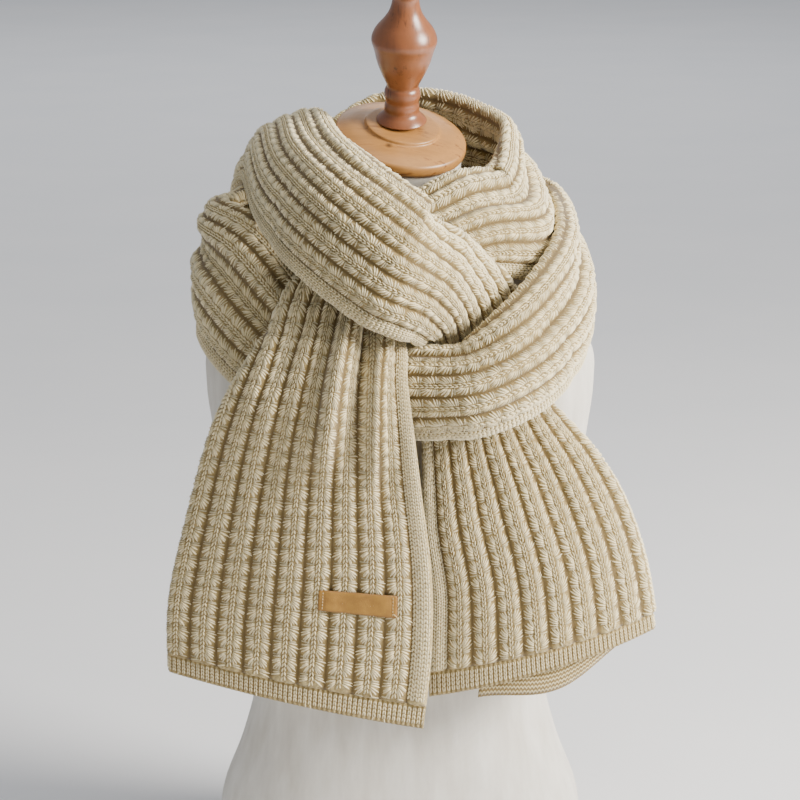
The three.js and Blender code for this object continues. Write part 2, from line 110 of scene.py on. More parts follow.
# The strip's way from the left hem to the right hem. x, y, z is the middle of the cloth that
# shows; turn and tilt say where it faces; skew slants the row; chord and bulge are the width and
# depth of the rounded section; shown is how much of the sheet's width lies in front, reach how
# far the rest goes back behind it, and drop how far the folded-in edge has slipped along.
COLUMNS = ("x", "y", "z", "turn", "tilt", "skew", "chord", "bulge", "shown", "reach", "drop")
STATIONS = {
    "left_tail": [
        (-84, -138, 189, -4, 2, -8, 209, 10, 227, 0.55, 0),
        (-80, -139, 250, -4, 0, -4, 212, 10, 227, 0.55, 0),
        (-76, -143, 302, -4, 0, 0, 202, 12, 227, 0.55, 0),
        (-70, -152, 378, -4, 0, 0, 172, 14, 225, 0.6, 0),
        (-61, -166, 440, -2, 4, 0, 141, 16, 220, 0.7, 0),
        (-50, -154, 488, 0, 22, 0, 112, 18, 210, 0.75, 0),
        (-34, -126, 526, 8, 34, 0, 92, 14, 190, 0.75, 0),
    ],
    "right_collar": [
        (10, -100, 558, 25, 34, 0, 78, 14, 160, 0.8, 0),
        (66, -79, 578, 43, 26, 0, 84, 16, 146, 0.8, 0),
        (111, -46, 577, 66, 28, 0, 95, 20, 140, 0.8, 0),
        (118.5, 2, 586, 93, 22, 0, 90, 20, 134, 0.8, 0),
        (98, 62, 606, 134, 14, 0, 82, 15, 126, 0.8, 0),
    ],
    "left_loop": [
        (0, 96, 618, 180, 6, 0, 80, 10, 126, 0.8, 0),
        (-99, 70, 570, 226, 6, 0, 72, 14, 132, 0.8, 0),
        (-150, 28, 548, 250, 3, 0, 73, 14, 136, 0.8, 0),
        (-169, -14, 543, 275, 5, 0, 82, 17, 138, 0.8, 0),
        (-150, -68, 527, 303, 25, 0, 103, 26, 138, 0.8, 0),
        (-104, -112, 486, 330, 24, 0, 94, 26, 138, 0.7, 0),
    ],
    "lower_loop": [
        (-52, -130, 450, 350, 8, 0, 72, 28, 138, 0.5, 0),
        (4, -142, 450, 362, 8, 0, 68, 27, 138, 0.5, 0),
        (62, -153, 456, 375, 10, 0, 70, 25, 138, 0.5, 0),
        (113, -129, 477, 402, 9, 0, 84, 20, 138, 0.5, 0),
        (148, -75, 505, 428, 9, 0, 90, 17, 138, 0.6, 0),
    ],
    "back_wrap": [
        (155.1, -9, 525.7, 452, 6, 0, 86, 14, 136, 0.6, 0),
        (135, 80, 541, 495, 8, 0, 88, 12, 132, 0.7, 0),
        (0, 146, 572, 540, 12, 0, 98, 14, 132, 0.7, 0),
        (-118, 112, 602, 592, 22, 0, 92, 15, 140, 0.7, 0),
    ],
    "diagonal_wrap": [
        (-111, 26, 635, 625, 46, 0, 80, 20, 150, 0.7, 0),
        (-95, -60, 622, 660, 41, 0, 92, 24, 160, 0.7, 0),
        (-60, -130, 600, 690, 35, 0, 102, 25, 164, 0.7, 0),
        (-4, -164, 562, 708, 25, 0, 104, 23, 164, 0.7, 0),
        (38, -140, 532, 720, 25, 0, 91, 18, 170, 0.6, 0),
    ],
    "right_tail": [
        (62, -96, 488, 728, 8, 0, 80, 12, 198, 0.5, 0),
        (68, -101, 430, 738, -2, 0, 100, 13, 210, 0.5, 0),
        (93, -114, 356, 731, 0, 0, 153, 15, 217, 0.6, 7),
        (112, -120, 290, 730, 0, 4, 175, 18, 219, 0.7, 15),
        (120, -118, 211, 730, 0, 8, 192, 20, 220, 0.8, 22),
    ],
}

# Which stretches show the ribs on their folded-in side.
INNER_RIBS = ("right_collar", "left_loop")

# Creases along the strip, between two stations. place is where each runs across what shows,
# from the fold (-1) to the free border (1); width is its spread there, and depth its dip in.
CREASES = (
    # from, to, place, width, depth
    (2.6, 6.5, 0.7, 0.12, 11),
    (3.4, 6.5, -0.15, 0.13, 8),
    (3.8, 6.5, -0.6, 0.12, 6),
    (7, 12, -0.42, 0.22, 9),
    (14.2, 18.2, -0.12, 0.22, 11),
    (20.6, 24, -0.42, 0.2, 8),
    (0.2, 2.2, -0.5, 0.25, 1.6),
    (0.6, 2.8, 0.35, 0.22, 1.4),
    (8.5, 11.5, 0.4, 0.2, 2.2),
    (24, 28, -0.3, 0.22, 3.2),
    (25, 27.5, 0.35, 0.2, 2.4),
    (28.2, 31.5, 0.25, 0.16, 1.8),
    (32.6, 35.2, -0.35, 0.16, 2.6),
    (33, 35.6, 0.3, 0.2, 2.0),
    (3.0, 6.6, 0.42, 0.09, 8.0),
    (3.0, 6.4, 0.34, 0.12, 7.0),
    (2.8, 6.7, 0.66, 0.13, -12.0),
    (3.0, 6.6, 0.08, 0.12, -6.0),
    (2.4, 6.2, -0.4, 0.12, 4.0),
    (25.8, 29.4, -0.62, 0.1, 4.0),
)
CREASE_FADE = 0.8

# Soft troughs across the strip, as it bends over what lies under it.
TROUGHS = (
    # station, place, spread, width, slant, depth
    (5.4, 0.2, 0.9, 9, 14, 1.8),
    (9.6, 0.5, 0.7, 8, -10, 1.6),
    (11.4, -0.1, 0.9, 9, 8, 1.8),
    (13.5, 0.3, 0.8, 9, 10, 1.8),
    (15.3, 0.5, 0.6, 8, -12, 2.2),
    (17.2, 0.4, 0.7, 8, 10, 1.8),
    (19.6, 0.7, 0.5, 7, -8, 1.6),
    (21.4, 0.4, 0.8, 8, 10, 2.0),
    (22.5, -0.4, 0.7, 7, -8, 2.0),
    (24.6, 0.2, 0.9, 11, 12, 2.0),
    (26.5, -0.3, 0.8, 10, -10, 2.0),
    (28.4, 0.3, 0.8, 9, 10, 1.8),
    (30.6, 0.4, 0.7, 9, -12, 2.0),
    (33.1, -0.2, 0.8, 10, 10, 1.8),
)

# The sewn label on the left tail: where its middle lies along and across the sheet.
LABEL_ALONG = 94.0
LABEL_ACROSS = 276.0
LABEL_WIDE = 69.0
LABEL_TALL = 17.6
LABEL_THICK = 1.4
LABEL_LIFT = WALL + 2.6 + 0.5
LABEL_CORNER = 1.6

# The dress form's board, cap and turned finial.
BOARD_HEIGHT = 12.0
BOARD_RIM = 2.0
SEAM_GAP = 0.3
CAP_CENTRE = Vector((1, 0, 636))
CAP_RADIUS = 55.0
CAP_THICK = 11.0
CAP_SEAT = CAP_THICK * 0.98
CAP_FORWARD = 20.0
CAP_SIDEWAYS = 10.0
FINIAL_FORWARD = 16.0
FINIAL_SIDEWAYS = 2.0
FINIAL_RISE = 9.0
FINIAL_PROFILE = (
    # radius, height over the cap's middle
    (22.3, 0),
    (19.5, 6),
    (14, 11),
    (14.6, 16),
    (13.2, 21),
    (15.2, 25),
    (14.6, 31),
    (12.4, 34),
    (17.5, 44),
    (22, 55),
    (24.5, 66),
    (27.2, 73),
    (26.4, 78),
    (23.5, 84),
    (17.5, 91),
    (12.6, 99),
    (10.4, 110),
    (12.5, 114),
    (14, 121),
    (12, 128),
    (7, 133),
    (0, 135),
)
FORM_RINGS = (
    # z, y, wide, front, back, lean
    (BOARD_HEIGHT + SEAM_GAP, 0, 158, 92, 98, 0),
    (60, 0, 156, 90, 98, 0),
    (110, 0, 138, 82, 86, 0),
    (160, 0, 126, 74, 76, 0),
    (230, 0, 136, 80, 82, 0),
    (310, 0, 150, 86, 92, 0),
    (380, 0, 158, 88, 100, 0),
    (430, 0, 164, 82, 106, 0),
    (455, 0, 163, 75, 107, 0),
    (473, 1, 154, 67, 104, 0),
    (490, 4, 138, 60, 96, 0),
    (506, 8, 114, 55, 82, 0),
    (521, 13, 86, 52, 68, 0),
    (536, 17, 66, 51, 58, 0.1),
    (558, 18, 55, 50, 53, 0.35),
    (590, 13, 51, 50, 51, 0.65),
    (CAP_CENTRE.z - CAP_SEAT, 4, 52, 52, 52, 1),
)
FORM_SQUARENESS = 2.3
FORM_SIDES = 96
FORM_SHRINK = 0.994
TURNED_SIDES = 96

# The camera and the floor, in metres and degrees.
CAMERA_TARGET = Vector((0, -0.040, 0.420))
CAMERA_DISTANCE = 2.2
CAMERA_ELEVATION = 14.0
VIEW_WIDTH = 0.664
FLOOR_HALF = 8.0

rng = np.random.default_rng(SEED)
STRETCH_NAMES = tuple(STATIONS)
ROWS = np.array([row for rows in STATIONS.values() for row in rows], float)
REACH = np.concatenate([[0], np.cumsum(np.linalg.norm(np.diff(ROWS[:, :3], axis=0), axis=1))])
STRIP_LENGTH = float(REACH[-1])
BEFORE = np.maximum(np.arange(len(ROWS)) - 1, 0)
AFTER = np.minimum(np.arange(len(ROWS)) + 1, len(ROWS) - 1)
SLOPES = (ROWS[AFTER] - ROWS[BEFORE]) / (REACH[AFTER] - REACH[BEFORE])[:, None]


def station_at(distance):
    """The station before each distance along the strip, and how far it lies towards the next."""
    index = np.clip(np.searchsorted(REACH, distance, side="right") - 1, 0, len(REACH) - 2)
    span = REACH[index + 1] - REACH[index]
    return index, (distance - REACH[index]) / span, span


def columns_at(distance, names):
    """The values of these columns at each distance, smooth through every station."""
    index, part, span = station_at(distance)
    square, cube = part**2, part**3
    found = []
    for column in (COLUMNS.index(name) for name in names):
        found.append(
            ROWS[index, column] * (2 * cube - 3 * square + 1)
            + SLOPES[index, column] * span * (cube - 2 * square + part)
            + ROWS[index + 1, column] * (3 * square - 2 * cube)
            + SLOPES[index + 1, column] * span * (cube - square)
        )
    return found


def unit(vectors):
    return vectors / np.linalg.norm(vectors, axis=1, keepdims=True)


def plane_at(distance):
    """The planes of the sections: middle, along, across and outward, a row for each distance."""
    middle = np.stack(columns_at(distance, "xyz"), axis=1)
    ahead = np.stack(columns_at(distance + 1, "xyz"), axis=1)
    behind = np.stack(columns_at(distance - 1, "xyz"), axis=1)
    along = unit(ahead - behind)
    turn, tilt, skew = np.radians(columns_at(distance, ("turn", "tilt", "skew")))
    facing = np.stack(
        [np.sin(turn) * np.cos(tilt), -np.cos(turn) * np.cos(tilt), np.sin(tilt)], axis=1
    )
    square = unit(np.cross(along, facing))
    outward = unit(np.cross(square, along))
    across = square * np.cos(skew)[:, None] + along * np.sin(skew)[:, None]
    return middle, along, across, outward


def smooth(value):
    value = np.clip(value, 0, 1)
    return value * value * (3 - 2 * value)


def dip_at(distance, place):
    """How far the creases and troughs press the cloth in, at a place from -1 to 1 across it."""
    index, part, _ = station_at(distance)
    station = index + part
    dip = np.zeros_like(distance)
    for start, end, middle, width, depth in CREASES:
        fade = smooth(np.minimum(station - start, end - station) / CREASE_FADE)
        dip += depth * fade * np.exp(-(((place - middle) / width) ** 2))
    for at, middle, spread, width, slant, depth in TROUGHS:
        centre = np.interp(at, np.arange(len(REACH)), REACH)
        run = (distance - centre - slant * place) / width
        dip += depth * np.exp(-(run**2)) * np.exp(-(((place - middle) / spread) ** 2))
    return dip


def fold_at(distance):
    """The width where the sheet folds, and the least width that lies behind it."""
    chord, bulge, shown, reach = columns_at(distance, ("chord", "bulge", "shown", "reach"))
    radius = (chord**2 / 4 + bulge**2) / (2 * bulge)
    half = np.arcsin(chord / (2 * radius))
    fold = SHEET_WIDTH - shown
    squeeze = 2 * half * radius / shown
    tucked = reach * 2 * half * (radius - 2 * FOLD_RADIUS) / np.sqrt(squeeze)
    tucked = np.minimum(fold - FOLD_LENGTH, tucked)
    return fold, fold - FOLD_LENGTH - tucked, radius, half, reach


def place(width, distance, lift):
    """Points of the cloth. width runs over the sheet from its folded-in edge (0) to its free
    border, distance along the strip, and lift out from the plain inner side."""
    width, distance, lift = np.broadcast_arrays(
        *(np.asarray(value, float) for value in (width, distance, lift))
    )
    shape = width.shape
    width, distance, lift = width.ravel(), distance.ravel(), lift.ravel()
    fold, least, radius, half, reach = fold_at(distance)
    drop = columns_at(distance, ("drop",))[0]
    front = width >= fold
    turning = ~front & (width > fold - FOLD_LENGTH)
    part = (fold - FOLD_LENGTH - width) / np.maximum(fold - FOLD_LENGTH - least, 1e-6)
    angle = np.where(
        front,
        half * (2 * (width - fold) / (SHEET_WIDTH - fold) - 1),
        np.where(turning, -half, half * (2 * part * reach - 1)),
    )
    inset = np.where(front, 0, np.where(turning, FOLD_RADIUS, 2 * FOLD_RADIUS))
    size = radius - inset - dip_at(distance, angle / half)
    facing = np.where(front | turning, 1, -1)
    a, n = size * np.sin(angle), size * np.cos(angle) - radius
    out_a, out_n = facing * np.sin(angle), facing * np.cos(angle)
    swing = np.where(turning, math.pi * (fold - width) / FOLD_LENGTH, 0)
    turned_a = out_a * np.cos(swing) - out_n * np.sin(swing)
    turned_n = out_n * np.cos(swing) + out_a * np.sin(swing)
    around = np.where(turning, FOLD_RADIUS, 0) + lift
    swung = smooth((part - 0.08) / 0.5) * (1 - 0.5 * smooth((part - 0.6) / 0.4))
    slip = np.where(front | turning, 0, swung * drop)
    middle, along, across, outward = plane_at(distance)
    points = (
        middle
        + across * (a + turned_a * around)[:, None]
        + outward * (n + turned_n * around)[:, None]
        + along * slip[:, None]
    )
    return points.reshape(*shape, 3)


def from_ridge(width):
    """The distance from the middle of the nearest ridge, and 1 on the ribs or 0 on the borders."""
    ribbed = (width >= FOLDED_EDGE) & (width <= SHEET_WIDTH - FREE_BORDER)
    return ((width - FOLDED_EDGE) % RIB_PITCH) - RIB_PITCH / 2, ribbed


def ridge(width):
    """How much of a ridge stands at a width: 1 on its middle and 0 in the valley."""
    off, ribbed = from_ridge(width)
    full = np.clip(1 - (np.abs(off) / RIDGE_HALF) ** 3, 0, 1) ** 0.8
    return np.where(ribbed, full, 0)


def rib_at(width):
    return np.clip(np.floor((width - FOLDED_EDGE) / RIB_PITCH), 0, RIB_COUNT - 1)


def lobe(width, distance):
    """How much a fan of yarn swells a rib here: 1 in the middle of a fan and 0 between fans."""
    off, _ = from_ridge(width)
    below = (rib_at(width) * FAN_DRIFT - distance) % FAN_PITCH
    swell = np.sin(math.pi * np.clip(below / (FAN_PITCH - 1.5), 0, 1))
    return swell * np.exp(-(((np.abs(off) - LOBE_MIDDLE) / LOBE_SPREAD) ** 2))


def wall_lift(width, distance):
    _, ribbed = from_ridge(width)
    edge = np.clip((width - SHEET_WIDTH + FREE_BORDER) / FREE_BORDER, 0, 1)
    roll = BORDER_ROLL * np.sin(math.pi * edge**1.2 * 0.9) ** 0.7
    rib = RIDGE_HEIGHT * ridge(width) + LOBE_HEIGHT * lobe(width, distance)
    return WALL + np.where(ribbed, rib, np.where(width > FOLDED_EDGE, roll, 0.5))


def hem_rise(width):
    return 0.5 - 0.5 * np.cos(2 * math.pi * np.asarray(width) / HEM_PITCH)


def hem_lift(width, distance):
    return HEM_WALL + HEM_RIDGE * hem_rise(width)


# Meshes.


def piece(name, points, faces, material, slot_name, values=None, replaces=()):
    """A named mesh that rides with the part. Points are in millimetres."""
    mesh = bpy.data.meshes.new(name)
    mesh.from_pydata((np.asarray(points) * MM).tolist(), [], faces)
    mesh.materials.append(material)
    for key, numbers in (values or {}).items():
        mesh.attributes.new(key, "FLOAT", "POINT").data.foreach_set(
            "value", np.asarray(numbers, np.float32).ravel()
        )
    mesh.shade_smooth()
    made = bpy.data.objects.new(name, mesh)
    bpy.context.scene.collection.objects.link(made)
    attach(made, "root")
    if replaces:
        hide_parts(*replaces)
    return made


def wall_faces(rows, columns):
    """Faces of a closed wall: a fine outer grid, an inner grid of every third row and column,
    and polygons that join their edges."""
    outer = np.arange(rows * columns).reshape(rows, columns)
    inner_rows, inner_columns = (rows - 1) // COARSE + 1, (columns - 1) // COARSE + 1
    inner = np.arange(inner_rows * inner_columns).reshape(inner_rows, inner_columns)
    inner = inner + rows * columns
    faces = np.stack(
        [outer[:-1, :-1], outer[:-1, 1:], outer[1:, 1:], outer[1:, :-1]], axis=-1
    ).reshape(-1, 4).tolist()
    faces += np.stack(
        [inner[:-1, 1:], inner[:-1, :-1], inner[1:, :-1], inner[1:, 1:]], axis=-1
    ).reshape(-1, 4).tolist()
    for row, flip in ((0, False), (-1, True)):
        for at in range(inner_columns - 1):
            fine = outer[row, at * COARSE:(at + 1) * COARSE + 1].tolist()
            face = fine[::-1] + [int(inner[row, at]), int(inner[row, at + 1])]
            faces.append(face[::-1] if flip else face)
    for column, flip in ((0, True), (-1, False)):
        for at in range(inner_rows - 1):
            fine = outer[at * COARSE:(at + 1) * COARSE + 1, column].tolist()
            face = fine[::-1] + [int(inner[at, column]), int(inner[at + 1, column])]
            faces.append(face[::-1] if flip else face)
    return faces


def wall_piece(name, start, end, step, widths_for, lift_for, height_for, material):
    """A closed wall of the sheet from one distance to another."""
    steps = COARSE * max(1, round((end - start) / step / COARSE))
    rows = np.linspace(start, end, steps + 1)
    widths = np.stack([widths_for(row) for row in rows])
    distance = np.broadcast_to(rows[:, None], widths.shape)
    lift = lift_for(widths, distance)
    outer = place(widths, distance, lift)
    inner = place(widths, distance, 0.0)[::COARSE, ::COARSE]
    points = np.concatenate([outer.reshape(-1, 3), inner.reshape(-1, 3)])
    inner_widths = widths[::COARSE, ::COARSE]
    inner_distance = distance[::COARSE, ::COARSE]
    # This attribute carries the ground's painted shade, as height_for gives it.
    height = np.concatenate(
        [height_for(widths, distance).ravel(), height_for(inner_widths, inner_distance).ravel()]
    )
    place_across = np.concatenate([widths.ravel(), inner_widths.ravel()])
    place_along = np.concatenate([distance.ravel(), inner_distance.ravel()])
    covered = float(np.mean(SHEET_WIDTH - widths[:, 0]) * (end - start))
    side = np.concatenate([np.zeros(widths.size), np.ones(inner_widths.size)])
    made = piece(
        f"{name}_cloth",
        points,
        wall_faces(*widths.shape),
        material,
        "wool_knit",
        {"height": height, "inner": side, "across": place_across, "along": place_along},
        [name],
    )
    return made, covered


def strands(roots, tips, shade, bend, radius, rise, base_for):
    """Closed strands of yarn lying on the cloth, each from its root to its tip, as points and
    faces. roots and tips are rows of width and distance; bend bows each strand to one side."""
    count = len(roots)
    run = tips - roots
    side = np.stack([-run[:, 1], run[:, 0]], axis=1)
    middle = (roots + tips) / 2 + side * bend[:, None]
    part = STRAND_PARTS[None, :, None]
    spine = (
        roots[:, None] * (1 - part) ** 2
        + middle[:, None] * 2 * part * (1 - part)
        + tips[:, None] * part**2
    )
    way = 2 * (middle - roots)[:, None] * (1 - part) + 2 * (tips - middle)[:, None] * part
    way = unit(way.reshape(-1, 2)).reshape(count, len(STRAND_PARTS), 2)
    left = np.stack([-way[..., 1], way[..., 0]], axis=-1)
    girth = radius * STRAND_GIRTH[None, :, None]
    base = base_for(spine[..., 0], spine[..., 1]) - YARN_SUNK
    ring = np.stack([spine + left * girth, spine, spine - left * girth], axis=2)
    lift = np.stack([base, base + rise * STRAND_GIRTH + YARN_SUNK * (STRAND_GIRTH > 0), base], axis=2)
    inner_ring = slice(1, -1)
    places = np.concatenate(
        [spine[:, :1], ring[:, inner_ring].reshape(count, -1, 2), spine[:, -1:]], axis=1
    )
    lifts = np.concatenate(
        [base[:, :1], lift[:, inner_ring].reshape(count, -1), base[:, -1:]], axis=1
    )
    points = place(places[..., 0], places[..., 1], lifts)
    one = []
    rings = len(STRAND_PARTS) - 2
    last = 1 + 3 * rings
    for corner in range(3):
        after = (corner + 1) % 3
        one.append([0, 1 + after, 1 + corner])
        one.append([last - 3 + corner, last - 3 + after, last])
    tris = np.array(one)
    quads = np.array(
        [
            [1 + 3 * k + c, 1 + 3 * k + (c + 1) % 3, 4 + 3 * k + (c + 1) % 3, 4 + 3 * k + c]
            for k in range(rings - 1)
            for c in range(3)
        ]
    )
    offset = (np.arange(count) * (last + 1))[:, None, None]
    faces = (tris[None] + offset).reshape(-1, 3).tolist()
    faces += (quads[None] + offset).reshape(-1, 4).tolist()
    # This per-point value is painted light: 1 on each strand's ridge for a painted highlight, less on
    # its sides and 0 at its ends for painted shade.
    top = np.concatenate([[0], np.tile([0.25, 1, 0.25], rings), [0]])
    values = {
        "top": np.broadcast_to(top, (count, last + 1)),
        # Each strand's colour varies at random, plus the painted shade or light of its place in a fan
        # or on the spine.
        "tone_and_shade": np.repeat(rng.uniform(-1, 1, count) + shade, last + 1),
    }
    return points.reshape(-1, 3), faces, values


def jitter(count, amount):
    return rng.normal(0, amount, count)


def fan_strands():
    """Both sides of every rib: fans that open towards the left tail's hem."""
    roots, tips, shades = [], [], []
    starts = np.arange(0, STRIP_LENGTH + FAN_PITCH, FAN_PITCH)
    for rib in range(RIB_COUNT):
        centre = FOLDED_EDGE + (rib + 0.5) * RIB_PITCH
        for side in (-1, 1):
            fan = starts + (rib * FAN_DRIFT) % FAN_PITCH + jitter(len(starts), 0.35)
            for strand, (lean, long, shade) in enumerate(zip(FAN_ANGLES, FAN_LENGTHS, FAN_SHADES)):
                angle = np.radians(lean + jitter(len(fan), 3.5))
                length = long * (1 + jitter(len(fan), 0.08))
                root_s = fan - strand * FAN_ROOT_STEP + jitter(len(fan), 0.12)
                root_w = centre + side * (FAN_ROOT + jitter(len(fan), 0.1))
                tip_w = root_w + side * length * np.cos(angle)
                roots.append(np.stack([root_w, root_s], axis=1))
                tips.append(np.stack([tip_w, root_s - length * np.sin(angle)], axis=1))
                shades.append(np.full(len(fan), shade))
    return np.concatenate(roots), np.concatenate(tips), np.concatenate(shades)


def chain_strands():
    """The spine of every rib: two columns of small loops."""
    roots, tips = [], []
    starts = np.arange(HEM_HEIGHT, STRIP_LENGTH - HEM_HEIGHT + CHAIN_PITCH, CHAIN_PITCH)
    for rib in range(RIB_COUNT):
        centre = FOLDED_EDGE + (rib + 0.5) * RIB_PITCH
        shift = rng.uniform(0, CHAIN_PITCH)
        for side in (-1, 1):
            at = starts + shift + side * CHAIN_PITCH * 0.12 + jitter(len(starts), 0.15)
            near = centre + side * (0.25 + jitter(len(at), 0.08))
            far = centre + side * (1.75 + jitter(len(at), 0.12))
            roots.append(np.stack([near, at], axis=1))
            tips.append(np.stack([far, at - CHAIN_PITCH * 1.15], axis=1))
    return np.concatenate(roots), np.concatenate(tips), np.full(len(roots) * len(at), CHAIN_SHADE)


def plain_strands(centres, start, end, pitch, reach):
    """Columns of plain knit stitches: two legs of a V for each row."""
    roots, tips = [], []
    rows = np.arange(start + pitch, end, pitch)
    for centre in centres:
        for side in (-1, 1):
            near = centre + side * (0.3 + jitter(len(rows), 0.06))
            far = centre + side * (reach + jitter(len(rows), 0.08))
            at = rows + jitter(len(rows), 0.1)
            roots.append(np.stack([near, at], axis=1))
            tips.append(np.stack([far, at - pitch * 1.2], axis=1))
    return np.concatenate(roots), np.concatenate(tips), np.zeros(len(roots) * len(rows))


def showing(roots, tips, deep):
    """Which strands lie on cloth that shows: before the fold, round it, or, where deep, behind."""
    fold, least = fold_at(roots[:, 1])[:2]
    limit = np.where(deep, least + 3, fold - FOLD_LENGTH)
    inside = (tips[:, 0] > np.maximum(limit, 0.8)) & (roots[:, 0] > np.maximum(limit, 0.8))
    return inside & (tips[:, 0] < SHEET_WIDTH - 0.8)


# Materials.


class Shader:
    """A principled material, with short calls for the nodes that the finishes need."""

    def __init__(self, name, roughness, **sockets):
        self.material = bpy.data.materials.new(name)
        self.material.use_nodes = True
        self.nodes = self.material.node_tree.nodes
        self.links = self.material.node_tree.links
        self.shader = self.nodes["Principled BSDF"]
        self.shader.inputs["Roughness"].default_value = roughness
        for key, value in sockets.items():
            self.shader.inputs[key.replace("_", " ")].default_value = value
        self.place = self.node("ShaderNodeTexCoord").outputs["Object"]

    def node(self, kind, inputs=None, **settings):
        made = self.nodes.new(kind)
        for key, value in settings.items():
            setattr(made, key, value)
        for key, value in (inputs or {}).items():
            self.feed(made.inputs[key], value)
        return made

    def feed(self, socket, value):
        if isinstance(value, bpy.types.NodeSocket):
            self.links.new(value, socket)
        else:
            socket.default_value = value

    def value(self, name):
        return self.node("ShaderNodeAttribute", attribute_name=name).outputs["Fac"]

    def math(self, operation, a, b=0.5, clamp=False):
        made = self.node("ShaderNodeMath", {0: a, 1: b}, operation=operation, use_clamp=clamp)
        return made.outputs[0]

    def stretched(self, scale, turn=(0, 0, 0)):
        return self.node(
            "ShaderNodeMapping", {"Vector": self.place, "Scale": scale, "Rotation": turn}
        ).outputs[0]

    def noise(self, scale, detail=3.0, roughness=0.55, vector=None):
        return self.node(
            "ShaderNodeTexNoise",
            {
                "Vector": vector or self.place,
                "Scale": scale,
                "Detail": detail,
                "Roughness": roughness,
            },
        ).outputs["Fac"]

    def ramp(self, factor, stops):
        made = self.node("ShaderNodeValToRGB", {"Fac": factor})
        elements = made.color_ramp.elements
        while len(elements) < len(stops):
            elements.new(0.5)
        for element, (position, colour) in zip(elements, stops):
            element.position = position
            element.color = (*colour, 1)
        return made.outputs["Color"]

    def mix(self, factor, a, b, blend="MIX"):
        made = self.node("ShaderNodeMix", data_type="RGBA", blend_type=blend)
        self.feed(made.inputs["Factor"], factor)
        for socket, colour in ((6, a), (7, b)):
            self.feed(made.inputs[socket], colour if not isinstance(colour, tuple) else (*colour, 1))
        return made.outputs[2]

    def bump(self, height, strength, distance):
        made = self.node(
            "ShaderNodeBump", {"Height": height, "Strength": strength, "Distance": distance}
        )
        if self.shader.inputs["Normal"].links:
            self.links.new(self.shader.inputs["Normal"].links[0].from_socket, made.inputs["Normal"])
        self.links.new(made.outputs[0], self.shader.inputs["Normal"])

    def colour(self, value):
        self.feed(self.shader.inputs["Base Color"], value)


def linear(red, green, blue):
    """A colour given as it shows on a screen, from 0 to 255, as the shader's own numbers."""
    return tuple(
        value / 12.92 / 255 if value < 11 else ((value / 255 + 0.055) / 1.055) ** 2.4
        for value in (red, green, blue)
    )


# The yarn runs from painted shade at the strands' roots, through its own colour, to a painted
# highlight on their tops.
YARN_HIGHLIGHT = linear(249, 236, 196)
YARN_MID = linear(222, 204, 155)
YARN_SHADE = linear(146, 122, 72)
# The ground's colours are painted shade: darkest in the valleys, then in the gaps, palest under the
# yarn.
VALLEY_SHADE = linear(104, 84, 44)
GAP_SHADE = linear(152, 130, 80)
UNDER_SHADE = linear(200, 180, 128)
YARN_SHEEN = 0.3


def yarn_material():
    """Strands: a painted highlight on top, painted shade at their roots, and a colour that varies from
    one to the next.
    """
    made = Shader("yarn", 0.92, Sheen_Weight=YARN_SHEEN, Sheen_Roughness=0.55)
    # Painted highlight along each strand's top and painted shade towards its ends.
    body = made.ramp(made.value("top"), [(0.0, YARN_SHADE), (0.45, YARN_MID), (1.0, YARN_HIGHLIGHT)])
    # The per-strand value darkens or lightens whole strands: random variation plus painted shade and
    # light.
    tone_and_shade = made.math("MULTIPLY_ADD", made.value("tone_and_shade"), 0.1)
    tone_and_shade.node.inputs[2].default_value = 0.95
    cloudy = made.math("MULTIPLY_ADD", made.noise(28.0, 2.0), 0.22)
    cloudy.node.inputs[2].default_value = 0.87
    grey = made.node("ShaderNodeCombineColor", {"Red": tone_and_shade, "Green": tone_and_shade, "Blue": tone_and_shade}).outputs[0]
    shaded_and_uneven = made.mix(1.0, body, grey, "MULTIPLY")
    cloud = made.node(
        "ShaderNodeCombineColor", {"Red": cloudy, "Green": cloudy, "Blue": cloudy}
    ).outputs[0]
    made.colour(made.mix(1.0, shaded_and_uneven, cloud, "MULTIPLY"))
    made.bump(made.noise(2600.0, 3.0, 0.7), 0.5, 0.0004)
    return made.material


def knit_material():
    """The wall under the yarn: painted shade, brown in the valleys and paler under the yarn, with knit
    rows drawn on its inner side.
    """
    made = Shader("knit_ground", 0.95, Sheen_Weight=YARN_SHEEN, Sheen_Roughness=0.55)
    ground = made.ramp(made.value("height"), [(0.05, VALLEY_SHADE), (0.4, GAP_SHADE), (0.85, UNDER_SHADE)])
    across = made.math("MULTIPLY", made.value("across"), 2 * math.pi / PLAIN_COLUMN)
    along = made.math("MULTIPLY", made.value("along"), 2 * math.pi / PLAIN_PITCH)
    leg = made.math("MULTIPLY", made.math("ABSOLUTE", made.math("SINE", across)), 2.4)
    row = made.math("SINE", made.math("ADD", along, leg))
    # The knit rows on the inner side are drawn with painted shade between the stitch legs.
    knit = made.ramp(row, [(0.1, YARN_SHADE), (0.75, YARN_MID)])
    # Speckles of the painted valley shade, scattered over the outer ground.
    shade_speckle = made.noise(420.0, 3.0, 0.7)
    outer = made.mix(made.ramp(shade_speckle, [(0.42, (0.5,) * 3), (0.6, (0.0,) * 3)]), ground, VALLEY_SHADE)
    made.colour(made.mix(made.value("inner"), outer, knit))
    made.bump(made.math("MULTIPLY", row, made.value("inner")), 0.6, 0.0009)
    made.bump(made.noise(380.0, 2.0, 0.6), 0.7, 0.001)
    made.bump(made.noise(2200.0, 3.0, 0.7), 0.5, 0.0004)
    return made.material


